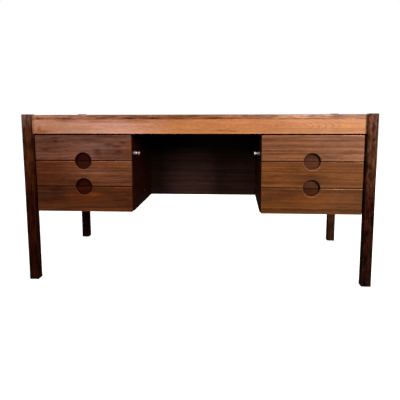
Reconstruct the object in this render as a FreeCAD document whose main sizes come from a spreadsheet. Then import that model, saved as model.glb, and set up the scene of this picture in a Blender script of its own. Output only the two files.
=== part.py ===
import FreeCAD, Part
import os

import Sketcher

# Executive desk in rosewood, in millimetres.
# The frame: X to the sitter's right, Y away from the sitter, Z up, origin on the floor under the middle.
# The right half and the front are modelled; the left half and the rear are mirrored from them.

SIZES = {
    # whole desk
    "desk_width": 1500,
    "desk_depth": 750,
    "desk_height": 735,
    # legs
    "leg_side": 42,
    "leg_edge": 4,
    "leg_foot_bevel": 1.5,
    "leg_top_bevel": 2.5,
    "leg_rise": 3,
    # top and the rails under it
    "top_thick": 20,
    "lipping_width": 12,
    "lipping_edge": 1.5,
    "rail_setback": 15,
    "rail_thick": 20,
    "rail_height": 60,
    "tenon_thick": 10,
    "tenon_height": 40,
    "tenon_gap": 1,
    "mortise_relief": 0.5,
    "glue_block_length": 60,
    "glue_block_side": 18,
    # pedestal carcass
    "pedestal_gap": 7,
    "panel_thick": 18,
    "panel_reach": 5,
    "panel_rail_gap": 2,
    "floor_thick": 16,
    "floor_rebate": 5,
    "back_thick": 12,
    "back_rebate": 8,
    "cleat_side": 20,
    "cleat_inset": 20,
    # modesty panel
    "modesty_inset": 19.5,
    "modesty_thick": 16,
    # drawer fronts and their finger pulls
    "front_width": 422,
    "front_height": 109.5,
    "front_thick": 20,
    "front_gap": 3,
    "front_drop": 1.5,
    "front_edge": 1.2,
    "stop_gap": 0.5,
    "pull_radius": 35.5,
    "pull_edge": 2.2,
    "pull_depth": 12,
    "pull_lip": 6,
    "pull_undercut": 5,
    # drawer boxes
    "drawer_depth": 445,
    "drawer_clear": 2,
    "drawer_rear_gap": 18.5,
    "floor_clear": 3.5,
    "side_drop": 9.5,
    "side_thick": 12,
    "tongue_length": 8,
    "tongue_shoulder": 2,
    "tongue_flare": 1,
    "box_back_thick": 12,
    "box_back_inset": 10,
    "box_back_housing": 4,
    "box_back_drop": 4,
    "bottom_lift": 8,
    "bottom_thick": 4,
    "bottom_groove": 5,
    "bottom_fit": 0.2,
    # runners in the drawers' side grooves
    "runner_start": 65,
    "runner_height": 12,
    "runner_bite": 5.5,
    "runner_fit": 0.3,
    "runner_end_fit": 0.5,
    "runner_lead": 2,
    # catches and gang lock
    "catch_distance": 50,
    "catch_side": 4,
    "catch_bite": 3.2,
    "catch_hold": 8,
    "catch_fit": 0.6,
    "lock_below_catch": 30.5,
    "lock_stroke": 5,
    "lock_reach": 24,
    "lock_head_length": 8,
    "lock_head_radius": 8.75,
    "lock_head_rim": 2.5,
    "lock_head_waist": 5.75,
    "lock_bevel": 0.5,
    "sleeve_radius": 7,
    "sleeve_wall": 2,
    "plunger_radius": 4.9,
    "plunger_fit": 0.1,
    "plunger_tip": 0.2,
    "bar_width": 16,
    "bar_thick": 5,
    "bar_end": 20,
    "bar_fit": 0.3,
    "bar_cover": 0.7,
    "guide_width": 34,
    "guide_height": 18,
    "guide_thick": 1.2,
}

ROWS = ("top", "middle", "bottom")
X_NORMAL = FreeCAD.Vector(1, 0, 0)
Y_NORMAL = FreeCAD.Vector(0, 1, 0)
ON_PLANE = 1e-6

doc = FreeCAD.newDocument("ExecutiveDesk")
nodes = []


def make_sheet():
    sheet = doc.addObject("Spreadsheet::Sheet", "Sizes")
    for row, (alias, number) in enumerate(SIZES.items(), start=1):
        sheet.set(f"A{row}", alias)
        sheet.set(f"B{row}", str(number))
        sheet.setAlias(f"B{row}", alias)
    doc.recompute()
    return sheet


sizes = make_sheet()


# Places that several pieces share, as expressions on the sheet.
leg_inner = "(Sizes.desk_width / 2 - Sizes.leg_side)"
leg_rear = "(Sizes.leg_side - Sizes.desk_depth / 2)"
front_plane = "(Sizes.rail_setback - Sizes.desk_depth / 2)"
side_plane = "(Sizes.desk_width / 2 - Sizes.rail_setback)"
board_top = "(Sizes.desk_height - Sizes.leg_rise)"
board_underside = f"({board_top} - Sizes.top_thick)"
rail_underside = f"({board_underside} - Sizes.rail_height)"
rail_middle = f"({board_underside} - Sizes.rail_height / 2)"
rail_to_tenon = "((Sizes.rail_thick + Sizes.tenon_thick) / 2)"
tenon_length = f"(Sizes.leg_side - Sizes.rail_setback - {rail_to_tenon} - Sizes.tenon_gap)"

fronts_top = f"({rail_underside} - Sizes.pedestal_gap)"
fronts_outer = f"({leg_inner} - Sizes.pedestal_gap)"
fronts_middle = f"({fronts_outer} - Sizes.front_width / 2)"
knee_face = f"({fronts_outer} - Sizes.front_width - Sizes.panel_reach)"
inner_face = f"({knee_face} + Sizes.panel_thick)"
outer_face = f"({leg_inner} - Sizes.panel_thick)"
panel_front = f"({front_plane} + Sizes.front_thick + Sizes.stop_gap)"
panel_notch = f"({front_plane} + Sizes.rail_thick + Sizes.panel_rail_gap)"
back_front = f"({front_plane} + Sizes.drawer_depth + Sizes.drawer_rear_gap)"
panel_rear = f"({back_front} + Sizes.back_thick)"
modesty_rear = f"({panel_rear} - Sizes.modesty_inset)"
modesty_front = f"({modesty_rear} - Sizes.modesty_thick)"

# Places inside a drawer, measured from the middle of its front's lower edge.
box_inner = f"({inner_face} + Sizes.drawer_clear - {fronts_middle})"
box_outer = f"({outer_face} - Sizes.drawer_clear - {fronts_middle})"
room_inner = f"({box_inner} + Sizes.side_thick)"
room_outer = f"({box_outer} - Sizes.side_thick)"
side_bottom = "(Sizes.front_drop + Sizes.floor_thick + Sizes.floor_clear)"
side_top = "(Sizes.front_height - Sizes.side_drop)"
side_middle = f"(({side_bottom} + {side_top}) / 2)"
bottom_level = f"({side_bottom} + Sizes.bottom_lift)"
box_back_rear = "(Sizes.drawer_depth - Sizes.box_back_inset)"
box_back_front = f"({box_back_rear} - Sizes.box_back_thick)"
groove_height = "(Sizes.bottom_thick + Sizes.bottom_fit)"


def front_bottom(row):
    """Height of a front's lower edge; row 0 is the top drawer."""
    return f"({fronts_top} - {row + 1} * Sizes.front_height - {row} * Sizes.front_gap)"


def catch_height(row):
    """Height of a drawer's runners and of its catch."""
    return f"({front_bottom(row)} + {side_middle})"


carcass_bottom = f"({front_bottom(len(ROWS) - 1)} + Sizes.front_drop)"

# The lock: the bar runs in the inner side panel, in line with the plunger.
catch_y = f"({front_plane} + Sizes.catch_distance)"
slot_half = "(Sizes.catch_side / 2 + Sizes.catch_fit)"
bar_rear = f"({catch_y} - {slot_half})"
bar_front = f"({bar_rear} - Sizes.bar_width)"
lock_y = f"({bar_rear} - Sizes.bar_width / 2)"
lock_z = f"({catch_height(0)} - Sizes.lock_below_catch)"
bar_groove = "(Sizes.bar_thick + Sizes.bar_fit + Sizes.bar_cover)"
sleeve_depth = f"(Sizes.panel_thick - {bar_groove} - Sizes.sleeve_wall)"
bar_near = f"({inner_face} - {bar_groove} + Sizes.bar_fit)"
bar_far = f"({bar_near} + Sizes.bar_thick)"
bar_bottom = f"({catch_height(len(ROWS) - 1)} - Sizes.bar_end)"
bar_top = f"({catch_height(0)} + Sizes.bar_end)"
slot_floor = f"({inner_face} - Sizes.catch_bite - Sizes.catch_fit)"


def value(expression):
    """The number that an expression on the sheet comes to."""
    return float(sizes.evalExpression(expression))


def bind(item, bindings):
    for name, expression in bindings.items():
        item.setExpression(name, expression)


def place(item, x="0", y="0", z="0"):
    bind(item, {"Placement.Base.x": x, "Placement.Base.y": y, "Placement.Base.z": z})
    return item


def node(item, label):
    """Notes a finished sub-part, whose label names its file."""
    item.Label = label
    nodes.append(item)
    return item


def block(name, low, high):
    """A box between two corners given as expressions."""
    item = doc.addObject("Part::Box", name)
    for side, start, end in zip(("Length", "Width", "Height"), low, high):
        item.setExpression(side, f"{end} - {start}")
    return place(item, *low)


def rod(name, radius, start, end, y, z):
    """A cylinder along X."""
    item = doc.addObject("Part::Cylinder", name)
    item.Placement.Rotation = FreeCAD.Rotation(Y_NORMAL, 90)
    bind(item, {"Radius": radius, "Height": f"{end} - {start}"})
    return place(item, start, y, z)


def group(name, items):
    item = doc.addObject("Part::Compound", name)
    item.Links = items
    return item


def cut(name, base, tools):
    """The base less its tools, which may overlap one another."""
    tool = tools[0]
    if len(tools) > 1:
        tool = doc.addObject("Part::MultiFuse", f"{name}_tools")
        tool.Shapes = tools
    item = doc.addObject("Part::Cut", name)
    item.Base = base
    item.Tool = tool
    return item


def mirror(source, normal, label):
    """The twin of a sub-part on the other side of the desk's middle plane."""
    item = doc.addObject("Part::Mirroring", label)
    item.Source = source
    item.Normal = normal
    return node(item, label)


def new_body(name):
    return doc.addObject("PartDesign::Body", name)


def sketch_on(body, role, name, offset):
    """An empty sketch on one of the body's own origin planes, moved along the plane's normal."""
    sketch = body.newObject("Sketcher::SketchObject", name)
    planes = [feature for feature in body.Origin.OriginFeatures if feature.Role == role]
    sketch.AttachmentSupport = (planes[0], [""])
    sketch.MapMode = "FlatFace"
    sketch.setExpression("AttachmentOffset.Base.z", offset)
    return sketch


def fix_point(sketch, geometry, point, x, y):
    """Ties a sketch point to two expressions, measured from the sketch's origin."""
    for kind, letter, expression in (("DistanceX", "x", x), ("DistanceY", "y", y)):
        rule = Sketcher.Constraint(kind, -1, 1, geometry, point, value(expression))
        name = f"{letter}{geometry}"
        sketch.renameConstraint(sketch.addConstraint(rule), name)
        sketch.setExpression(f"Constraints.{name}", expression)


def add_outline(sketch, points):
    """Adds a closed outline of straight lines through points given as expressions."""
    first = sketch.GeometryCount
    count = len(points)
    corners = [FreeCAD.Vector(value(x), value(y), 0) for x, y in points]
    for index in range(count):
        sketch.addGeometry(Part.LineSegment(corners[index], corners[(index + 1) % count]), False)
    for index in range(count):
        following = first + (index + 1) % count
        sketch.addConstraint(Sketcher.Constraint("Coincident", first + index, 2, following, 1))
    for index, (x, y) in enumerate(points):
        fix_point(sketch, first + index, 1, x, y)


def add_circle(sketch, x, y, radius):
    centre = FreeCAD.Vector(value(x), value(y), 0)
    axis = FreeCAD.Vector(0, 0, 1)
    index = sketch.addGeometry(Part.Circle(centre, axis, value(radius)), False)
    fix_point(sketch, index, 3, x, y)
    rule = sketch.addConstraint(Sketcher.Constraint("Radius", index, value(radius)))
    sketch.renameConstraint(rule, f"radius{index}")
    sketch.setExpression(f"Constraints.radius{index}", radius)


def outline(body, role, name, points, offset="0"):
    sketch = sketch_on(body, role, name, offset)
    add_outline(sketch, points)
    return sketch


def rectangle(low_x, low_y, high_x, high_y):
    return [(low_x, low_y), (high_x, low_y), (high_x, high_y), (low_x, high_y)]


def pad(body, sketch, length, symmetric=False):
    feature = body.newObject("PartDesign::Pad", f"{sketch.Name}_pad")
    feature.Profile = sketch
    feature.SideType = "Symmetric" if symmetric else "One side"
    feature.setExpression("Length", length)
    sketch.Visibility = False
    doc.recompute()
    return feature


def pocket(body, sketch, length, along_normal=False, symmetric=False):
    """Cuts a sketch into the body, against the sketch's normal unless told otherwise."""
    before = body.Shape.Volume
    feature = body.newObject("PartDesign::Pocket", f"{sketch.Name}_pocket")
    feature.Profile = sketch
    feature.Reversed = along_normal
    feature.SideType = "Symmetric" if symmetric else "One side"
    feature.setExpression("Length", length)
    doc.recompute()
    if body.Shape.Volume >= before:
        raise RuntimeError(f"{feature.Name} cuts nothing")
    return feature


def revolve(body, sketch):
    """Turns a profile in the XY plane once round the X axis."""
    feature = body.newObject("PartDesign::Revolution", f"{sketch.Name}_turned")
    feature.Profile = sketch
    feature.ReferenceAxis = (sketch, ["H_Axis"])
    feature.Angle = 360
    doc.recompute()
    return feature


def dress(body, kind, size_name, size, wanted):
    """A Fillet or Chamfer on the edges of the body that the test wanted picks."""
    base = body.Tip
    names = [f"Edge{n}" for n, edge in enumerate(base.Shape.Edges, start=1) if wanted(edge)]
    feature = body.newObject(f"PartDesign::{kind}", f"{body.Name}_{kind.lower()}")
    feature.Base = (base, names)
    feature.setExpression(size_name, size)
    doc.recompute()
    return feature


def flat_at(low, high, level):
    """Whether an extent lies wholly on one level."""
    return abs(low - level) < ON_PLANE and abs(high - level) < ON_PLANE


def make_legs():
    """Square legs with softened edges, mortised on the two inner faces for the rails."""
    body = new_body("leg_stock")
    half = "Sizes.leg_side / 2"
    section = outline(body, "XY_Plane", "leg_section", rectangle(f"-{half}", f"-{half}", half, half))
    pad(body, section, "Sizes.desk_height")
    height = value("Sizes.desk_height")

    def at_level(level):
        return lambda edge: flat_at(edge.BoundBox.ZMin, edge.BoundBox.ZMax, level)

    dress(body, "Fillet", "Radius", "Sizes.leg_edge", lambda edge: edge.BoundBox.ZLength > height / 2)
    dress(body, "Chamfer", "Size", "Sizes.leg_foot_bevel", at_level(0))
    dress(body, "Chamfer", "Size", "Sizes.leg_top_bevel", at_level(height))
    place(body, f"{leg_inner} + {half}", f"{leg_rear} - {half}")

    relief = "Sizes.mortise_relief"
    reach = f"({tenon_length} + {relief})"
    low = f"({rail_middle} - Sizes.tenon_height / 2)"
    high = f"({rail_middle} + Sizes.tenon_height / 2)"
    apron_middle = f"({front_plane} + Sizes.rail_thick / 2)"
    rail_centre = f"({side_plane} - Sizes.rail_thick / 2)"
    half_tenon = "Sizes.tenon_thick / 2"
    for_apron = block(
        "mortise_for_apron",
        (leg_inner, f"({apron_middle} - {half_tenon})", low),
        (f"({leg_inner} + {reach})", f"({apron_middle} + {half_tenon})", high),
    )
    for_rail = block(
        "mortise_for_rail",
        (f"({rail_centre} - {half_tenon})", f"({leg_rear} - {reach})", low),
        (f"({rail_centre} + {half_tenon})", leg_rear, high),
    )
    front_right = node(cut("leg", body, [for_apron, for_rail]), "leg_front_right")
    mirror(front_right, X_NORMAL, "leg_front_left")
    rear_right = mirror(front_right, Y_NORMAL, "leg_rear_right")
    mirror(rear_right, X_NORMAL, "leg_rear_left")


def make_rail(label, role, across, clear_length):
    """A rail with a stub tenon at each end: one pad for the rail, one for the tenons."""
    body = new_body(label)
    half_tenon = "Sizes.tenon_height / 2"
    middle = f"({across[0]} + {across[1]}) / 2"
    section = outline(
        body, role, f"{label}_section", rectangle(across[0], rail_underside, across[1], board_underside)
    )
    pad(body, section, clear_length, symmetric=True)
    tenon = outline(
        body,
        role,
        f"{label}_tenon",
        rectangle(
            f"{middle} - Sizes.tenon_thick / 2",
            f"{rail_middle} - {half_tenon}",
            f"{middle} + Sizes.tenon_thick / 2",
            f"{rail_middle} + {half_tenon}",
        ),
    )
    pad(body, tenon, f"{clear_length} + 2 * {tenon_length}", symmetric=True)
    return node(body, label)


def make_rails():
    apron = make_rail(
        "apron_front", "YZ_Plane", (front_plane, f"({front_plane} + Sizes.rail_thick)"), f"2 * {leg_inner}"
    )
    mirror(apron, Y_NORMAL, "apron_rear")
    rail = make_rail(
        "side_rail_right", "XZ_Plane", (f"({side_plane} - Sizes.rail_thick)", side_plane), f"-2 * {leg_rear}"
    )
    mirror(rail, X_NORMAL, "side_rail_left")


def make_lipping(label, role, outer, inner, clear_length):
    """A solid edge strip with its upper outer edge eased."""
    body = new_body(label)
    points = [(outer, board_underside), (inner, board_underside), (inner, board_top), (outer, board_top)]
    pad(body, outline(body, role, f"{label}_section", points), clear_length, symmetric=True)
    level = value(board_top)
    place_across = value(outer)

    def outer_top(edge):
        box = edge.BoundBox
        across = (box.YMin, box.YMax) if role == "YZ_Plane" else (box.XMin, box.XMax)
        return flat_at(box.ZMin, box.ZMax, level) and flat_at(*across, place_across)

    dress(body, "Fillet", "Radius", "Sizes.lipping_edge", outer_top)
    return node(body, label)


def make_top():
    """The veneered board, notched round the legs, and its four solid lippings."""
    width = "Sizes.lipping_width"
    board_x = f"({side_plane} - {width})"
    board_y = f"(-{front_plane} - {width})"
    notch_y = f"(-{leg_rear})"
    quarter = [(board_x, notch_y), (leg_inner, notch_y), (leg_inner, board_y)]
    half = quarter + [(f"-{x}", y) for x, y in reversed(quarter)]
    points = half + [(x, f"-{y}") for x, y in reversed(half)]
    body = new_body("desk_top")
    pad(body, outline(body, "XY_Plane", "desk_top_plan", points, board_underside), "Sizes.top_thick")
    node(body, "desk_top")

    front = make_lipping(
        "top_lipping_front", "YZ_Plane", front_plane, f"({front_plane} + {width})", f"2 * {leg_inner}"
    )
    mirror(front, Y_NORMAL, "top_lipping_rear")
    right = make_lipping("top_lipping_right", "XZ_Plane", side_plane, board_x, f"-2 * {leg_rear}")
    mirror(right, X_NORMAL, "top_lipping_left")


def make_glue_blocks():
    """Blocks in the corner between rails and top, where the pedestals leave room for them."""
    side = "Sizes.glue_block_side"
    half = "Sizes.glue_block_length / 2"
    low = f"({board_underside} - {side})"
    apron_back = f"({front_plane} + Sizes.rail_thick)"
    rail_back = f"({side_plane} - Sizes.rail_thick)"
    behind = f"(({panel_rear} - {leg_rear}) / 2)"
    right_half = []
    for name, x, y in (
        ("front", f"({knee_face} / 2)", apron_back),
        ("rear_inner", f"({knee_face} / 2)", f"(-{apron_back} - {side})"),
        ("rear_outer", fronts_middle, f"(-{apron_back} - {side})"),
    ):
        corner = (f"({x} - {half})", y, low)
        opposite = (f"({x} + {half})", f"({y} + {side})", board_underside)
        right_half.append(block(f"glue_block_{name}", corner, opposite))
    corner = (f"({rail_back} - {side})", f"({behind} - {half})", low)
    opposite = (rail_back, f"({behind} + {half})", board_underside)
    right_half.append(block("glue_block_side_rail", corner, opposite))
    right = group("glue_blocks_right", right_half)
    left = doc.addObject("Part::Mirroring", "glue_blocks_left")
    left.Source = right
    left.Normal = X_NORMAL
    node(group("glue_blocks", [right, left]), "top_glue_blocks")


def make_side_panel(name, start):
    """A pedestal side: it passes up behind the apron to the underside of the top."""
    body = new_body(name)
    points = [
        (panel_front, carcass_bottom),
        (panel_rear, carcass_bottom),
        (panel_rear, board_underside),
        (panel_notch, board_underside),
        (panel_notch, fronts_top),
        (panel_front, fronts_top),
    ]
    pad(body, outline(body, "YZ_Plane", f"{name}_outline", points, start), "Sizes.panel_thick")
    return body


def panel_rebates(name, floor_x, back_x):
    """The rebates that take the pedestal's floor and back in one side panel."""
    floor = block(
        f"{name}_floor_rebate",
        (floor_x[0], panel_front, carcass_bottom),
        (floor_x[1], back_front, f"({carcass_bottom} + Sizes.floor_thick)"),
    )
    back = block(
        f"{name}_back_rebate",
        (back_x[0], back_front, carcass_bottom),
        (back_x[1], panel_rear, board_underside),
    )
    return [floor, back]


def lock_cuts():
    """What the lock needs in the inner side: sleeve hole, bar groove and a slot for each catch."""
    sleeve_end = f"({knee_face} + {sleeve_depth})"
    groove_floor = f"({inner_face} - {bar_groove})"
    cuts = [
        rod("sleeve_hole", "Sizes.sleeve_radius", knee_face, sleeve_end, lock_y, lock_z),
        rod(
            "plunger_hole",
            "Sizes.plunger_radius + Sizes.bar_fit",
            sleeve_end,
            inner_face,
            lock_y,
            lock_z,
        ),
        block(
            "bar_channel",
            (groove_floor, f"({bar_front} - Sizes.bar_fit)", bar_bottom),
            (
                inner_face,
                f"({bar_rear} + Sizes.bar_fit)",
                f"({bar_top} + Sizes.lock_stroke + Sizes.bar_fit)",
            ),
        ),
    ]
    for row, name in enumerate(ROWS):
        low = (slot_floor, panel_front, f"({catch_height(row)} - {slot_half})")
        high = (inner_face, f"({catch_y} + {slot_half})", f"({catch_height(row)} + {slot_half})")
        cuts.append(block(f"catch_slot_{name}", low, high))
    return cuts


def make_carcass():
    """One pedestal: two sides, floor, back, runners and the cleats that hang it from the top."""
    inner = make_side_panel("inner_side_board", knee_face)
    rebates = panel_rebates(
        "inner",
        (f"({inner_face} - Sizes.floor_rebate)", inner_face),
        (f"({inner_face} - Sizes.back_rebate)", inner_face),
    )
    inner_side = cut("inner_side", inner, rebates + lock_cuts())
    outer = make_side_panel("outer_side_board", outer_face)
    rebates = panel_rebates(
        "outer",
        (outer_face, f"({outer_face} + Sizes.floor_rebate)"),
        (outer_face, f"({outer_face} + Sizes.back_rebate)"),
    )
    outer_side = cut("outer_side", outer, rebates)
    floor = block(
        "pedestal_floor",
        (f"({inner_face} - Sizes.floor_rebate)", panel_front, carcass_bottom),
        (
            f"({outer_face} + Sizes.floor_rebate)",
            back_front,
            f"({carcass_bottom} + Sizes.floor_thick)",
        ),
    )
    back = block(
        "pedestal_rear",
        (f"({inner_face} - Sizes.back_rebate)", back_front, carcass_bottom),
        (f"({outer_face} + Sizes.back_rebate)", panel_rear, board_underside),
    )
    pair(inner_side, "pedestal_{}_inner_side")
    pair(outer_side, "pedestal_{}_outer_side")
    pair(floor, "pedestal_{}_bottom")
    pair(back, "pedestal_{}_back")
    pair(make_runners(), "pedestal_{}_drawer_runners")
    pair(make_hanging_cleats(), "pedestal_{}_hanging_cleats")


def pair(item, pattern):
    """A right-hand sub-part and its left-hand twin."""
    mirror(node(item, pattern.format("right")), X_NORMAL, pattern.format("left"))


def make_runners():
    """Hardwood strips that carry the drawers by the grooves in their sides."""
    thick = "(Sizes.drawer_clear + Sizes.runner_bite)"
    start = f"({front_plane} + Sizes.runner_start)"
    strips = []
    for row, name in enumerate(ROWS):
        low = f"({catch_height(row)} - Sizes.runner_height / 2)"
        high = f"({catch_height(row)} + Sizes.runner_height / 2)"
        for side, near, far in (
            ("inner", inner_face, f"({inner_face} + {thick})"),
            ("outer", f"({outer_face} - {thick})", outer_face),
        ):
            strips.append(block(f"runner_{name}_{side}", (near, start, low), (far, back_front, high)))
    return group("drawer_runners", strips)


def make_hanging_cleats():
    """Battens in the corners between the pedestal's sides and the top."""
    start = f"({panel_front} + Sizes.cleat_inset)"
    end = f"({back_front} - Sizes.cleat_inset)"
    low = f"({board_underside} - Sizes.cleat_side)"
    strips = []
    for name, near, far in (
        ("inner", inner_face, f"({inner_face} + Sizes.cleat_side)"),
        ("outer", f"({outer_face} - Sizes.cleat_side)", outer_face),
    ):
        strips.append(block(f"hanging_cleat_{name}", (near, start, low), (far, end, board_underside)))
    return group("hanging_cleats", strips)


def make_modesty_panel():
    """The panel that closes the knee space, and the corner battens behind it."""
    panel = block(
        "modesty_board",
        (f"(-{knee_face})", modesty_front, carcass_bottom),
        (knee_face, modesty_rear, board_underside),
    )
    node(panel, "modesty_panel")
    low = f"({carcass_bottom} + Sizes.cleat_inset)"
    high = f"({board_underside} - Sizes.cleat_inset)"
    start = f"({knee_face} - Sizes.cleat_side)"
    right = block("modesty_cleat_right", (start, modesty_rear, low), (knee_face, panel_rear, high))
    left = doc.addObject("Part::Mirroring", "modesty_cleat_left")
    left.Source = right
    left.Normal = X_NORMAL
    node(group("modesty_battens", [right, left]), "modesty_cleats")


def tongue(start, end):
    """The dovetail at the front end of a drawer side, in plan, from its outer face to its inner one."""
    neck = "Sizes.front_thick"
    tip = "(Sizes.front_thick - Sizes.tongue_length)"
    shoulder = "Sizes.tongue_shoulder"
    flare = "(Sizes.tongue_shoulder - Sizes.tongue_flare)"
    return [
        (f"({start} + {shoulder})", neck),
        (f"({start} + {flare})", tip),
        (f"({end} - {flare})", tip),
        (f"({end} - {shoulder})", neck),
    ]


def in_drawer(row, x, y, z):
    """A point measured in a drawer, as a point of the desk."""
    return (f"({fronts_middle} + {x})", f"({front_plane} + {y})", f"({front_bottom(row)} + {z})")


def place_in_drawer(item, row):
    return place(item, *in_drawer(row, "0", "0", "0"))


def make_drawer_front(row, name):
    """A front with half of each round finger pull, housed at the back for the drawer's sides."""
    body = new_body(f"front_{name}")
    half_width = "Sizes.front_width / 2"
    face = rectangle(f"-{half_width}", "0", half_width, "Sizes.front_height")
    pad(body, outline(body, "XZ_Plane", f"face_{name}", face, "-Sizes.front_thick"), "Sizes.front_thick")

    # The pulls are centred on the seams, so a row has one at each seam that it shares.
    seams = []
    if row > 0:
        seams.append("Sizes.front_height + Sizes.front_gap / 2")
    if row < len(ROWS) - 1:
        seams.append("-Sizes.front_gap / 2")
    mouth = sketch_on(body, "XZ_Plane", f"pull_{name}", "0")
    hollow = sketch_on(body, "XZ_Plane", f"undercut_{name}", "-Sizes.pull_lip")
    for seam in seams:
        add_circle(mouth, "0", seam, "Sizes.pull_radius")
        add_circle(hollow, "0", seam, "Sizes.pull_radius + Sizes.pull_undercut")
    pocket(body, mouth, "Sizes.pull_depth")
    pocket(body, hollow, "Sizes.pull_depth - Sizes.pull_lip")

    # The housings are open at the lower edge, where the sides slide in.
    housings = sketch_on(body, "XY_Plane", f"housings_{name}", "0")
    add_outline(housings, tongue(box_inner, room_inner))
    add_outline(housings, tongue(room_outer, box_outer))
    pocket(body, housings, side_top, along_normal=True)
    groove = rectangle(
        f"({room_inner} - Sizes.bottom_groove)",
        "(Sizes.front_thick - Sizes.bottom_groove)",
        f"({room_outer} + Sizes.bottom_groove)",
        "Sizes.front_thick",
    )
    sketch = outline(body, "XY_Plane", f"front_groove_{name}", groove, bottom_level)
    pocket(body, sketch, groove_height, along_normal=True)

    def on_face(edge, curve):
        return flat_at(edge.BoundBox.YMin, edge.BoundBox.YMax, 0) and isinstance(edge.Curve, curve)

    # The rims of the pulls are eased more than the straight edges.
    dress(body, "Chamfer", "Size", "Sizes.pull_edge", lambda edge: on_face(edge, Part.Circle))
    dress(body, "Chamfer", "Size", "Sizes.front_edge", lambda edge: on_face(edge, Part.Line))
    return place_in_drawer(body, row)


def make_drawer_side(name, outward):
    """A side with its dovetail tongue, runner groove, bottom groove and the housing for the back."""
    start, end = (box_inner, room_inner) if outward < 0 else (room_outer, box_outer)
    outer, inner = (start, end) if outward < 0 else (end, start)
    body = new_body(f"side_{name}")
    plan = [(start, "Sizes.front_thick")]
    plan += tongue(start, end)
    plan += [(end, "Sizes.front_thick"), (end, "Sizes.drawer_depth"), (start, "Sizes.drawer_depth")]
    pad(body, outline(body, "XY_Plane", f"plan_{name}", plan, side_bottom), f"{side_top} - {side_bottom}")

    def inwards(expression):
        return f"({inner} + {outward} * {expression})"

    def groove(title, x_pair, y_pair, low, height):
        sketch = outline(
            body, "XY_Plane", f"{title}_{name}", rectangle(x_pair[0], y_pair[0], x_pair[1], y_pair[1]), low
        )
        pocket(body, sketch, height, along_normal=True)

    runner_height = "(Sizes.runner_height + 2 * Sizes.runner_fit)"
    runner_floor = f"({outer} - {outward} * (Sizes.runner_bite + Sizes.runner_end_fit))"
    runner_start = "(Sizes.runner_start - Sizes.runner_lead)"
    groove(
        "runner_groove",
        (outer, runner_floor),
        (runner_start, "Sizes.drawer_depth"),
        f"({side_middle} - {runner_height} / 2)",
        runner_height,
    )
    tip = "(Sizes.front_thick - Sizes.tongue_length)"
    groove(
        "bottom_groove",
        (inner, inwards("Sizes.bottom_groove")),
        (tip, "Sizes.drawer_depth"),
        bottom_level,
        groove_height,
    )
    groove(
        "back_housing",
        (inner, inwards("Sizes.box_back_housing")),
        (box_back_front, box_back_rear),
        f"({bottom_level} + {groove_height})",
        f"({side_top} - {bottom_level} - {groove_height})",
    )
    return body


def make_drawer(row, name):
    """One drawer: front, walls, bottom board and the catch that the lock bar stops."""
    front = make_drawer_front(row, name)
    pair(front, f"drawer_{{}}_{name}_front")

    inner_side = make_drawer_side(f"{name}_inner", -1)
    outer_side = make_drawer_side(f"{name}_outer", 1)
    half = "Sizes.catch_side / 2"
    root = f"({box_inner} + Sizes.catch_hold)"
    low = (f"(Sizes.catch_distance - {half})", f"({side_middle} - {half})")
    high = (f"(Sizes.catch_distance + {half})", f"({side_middle} + {half})")
    hole = block(f"catch_hole_{name}", (box_inner, *low), (root, *high))
    housed = cut(f"housed_side_{name}", inner_side, [hole])
    back = block(
        f"box_back_{name}",
        (f"({room_inner} - Sizes.box_back_housing)", box_back_front, f"({bottom_level} + {groove_height})"),
        (f"({room_outer} + Sizes.box_back_housing)", box_back_rear, f"({side_top} - Sizes.box_back_drop)"),
    )
    walls = group(f"walls_{name}", [housed, outer_side, back])
    pair(place_in_drawer(walls, row), f"drawer_{{}}_{name}_walls")

    reach = "(Sizes.bottom_groove - Sizes.bottom_fit)"
    board = block(
        f"bottom_board_{name}",
        in_drawer(row, f"{room_inner} - {reach}", f"Sizes.front_thick - {reach}", bottom_level),
        in_drawer(row, f"{room_outer} + {reach}", box_back_rear, f"{bottom_level} + Sizes.bottom_thick"),
    )
    pair(board, f"drawer_{{}}_{name}_bottom_board")

    tip = f"({box_inner} - Sizes.drawer_clear - Sizes.catch_bite)"
    catch = block(f"catch_{name}", in_drawer(row, tip, *low), in_drawer(row, root, *high))
    pair(catch, f"drawer_{{}}_{name}_catch")


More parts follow.
